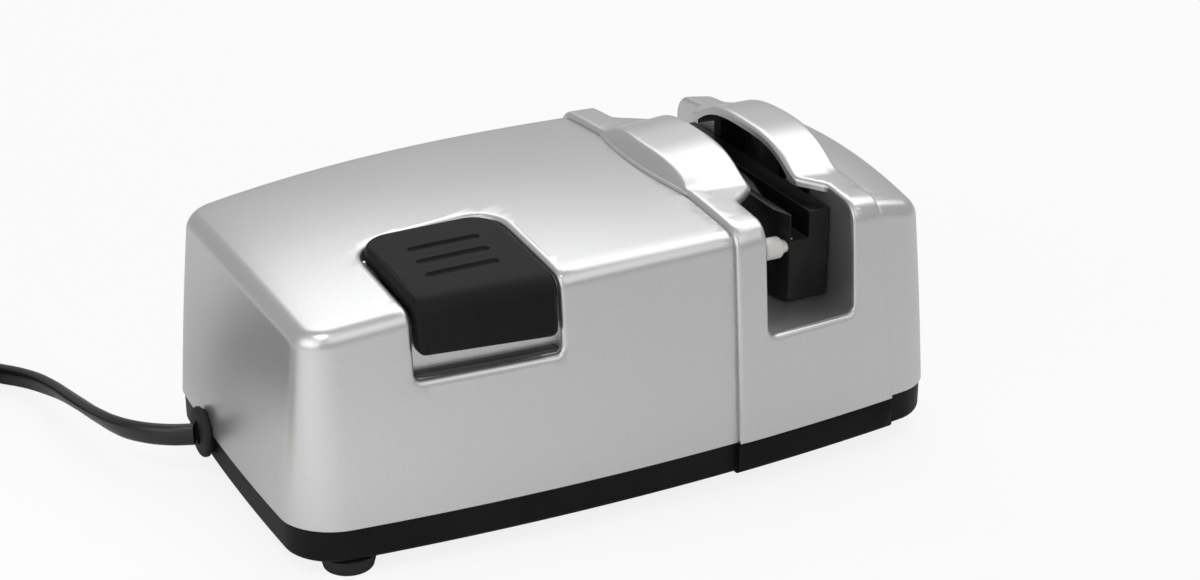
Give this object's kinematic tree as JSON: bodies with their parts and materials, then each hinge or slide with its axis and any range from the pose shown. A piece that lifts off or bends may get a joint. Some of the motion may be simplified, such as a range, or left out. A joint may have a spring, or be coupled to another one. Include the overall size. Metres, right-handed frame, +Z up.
{
  "type": "electric knife sharpener",
  "caption": "Electric knife sharpener: silver body with a black press button, a slotted head with humps, conical wheels on a motor shaft, a black base tray and a coiled flat cord with its plug.",
  "frame": {"origin": "on the floor, under the middle of the body", "axes": "+X from the cord end to the grinding end, -Y is the front with the button's lip, +Z up"},
  "size_m": [0.2735, 0.1648, 0.0681],
  "materials": {
    "silver": "satin",
    "black_plastic": "satin",
    "button_black": "fine matt",
    "rubber": "matt",
    "steel": "satin",
    "brass": "satin",
    "copper": "satin",
    "white_nylon": "satin",
    "stone": "rough",
    "magnet": "rough",
    "cord": "satin"
  },
  "bodies": {
    "housing": {"main_shell": "silver", "head_cover": "silver", "end_cap": "silver", "base_plate": "black_plastic", "foot_front_left": "rubber", "foot_rear_left": "rubber", "foot_front_right": "rubber", "foot_rear_right": "rubber", "base_screw_1": "steel", "base_screw_2": "steel", "base_screw_3": "steel", "base_screw_4": "steel", "base_screw_5": "steel", "base_screw_6": "steel", "button_pin": "steel", "return_spring": "steel", "switch_body": "black_plastic", "motor_can": "steel", "motor_cap": "black_plastic", "magnet_front": "magnet", "magnet_rear": "magnet", "motor_strap": "steel", "spindle_bracket": "steel", "bush_left": "brass", "bush_right": "brass", "knife_guide": "black_plastic", "blade_rest_front": "white_nylon", "blade_rest_rear": "white_nylon", "cord_grommet": "rubber", "inlet_lead": "cord", "cord_clamp": "black_plastic", "mains_cord": "cord", "cord_coil": "cord", "plug_body": "black_plastic", "plug_pin_a": "brass", "plug_pin_b": "brass"},
    "button": {"press_button": "button_black"},
    "plunger": {"switch_plunger": "white_nylon"},
    "drive": {"motor_shaft": "steel", "rotor": "copper", "cooling_fan": "black_plastic", "coupling": "white_nylon", "spindle": "steel", "wheel_left": "stone", "wheel_right": "stone", "wheel_spacer": "white_nylon", "wheel_clip": "steel"}
  },
  "joints": [
    {"name": "button_press", "type": "hinge", "parent": "housing", "child": "button", "pos_m": [-0.0352, -0.013, 0.0558], "axis": [1, 0, 0], "range_deg": [0, 4.2], "stiffness_Nm_per_rad": 0.6, "springref_deg": -8.59, "deforming": ["return_spring"]},
    {"name": "plunger_travel", "type": "slide", "parent": "housing", "child": "plunger", "axis": [0, 0, -1], "range_m": [0, 0.0014]},
    {"name": "wheel_spin", "type": "hinge", "parent": "housing", "child": "drive", "pos_m": [0.0429, 0, 0.0338], "axis": [1, 0, 0], "continuous": true}
  ],
  "couplings": [
    {"joint": "plunger_travel", "follows": "button_press", "m_per_rad": 0.018}
  ]
}
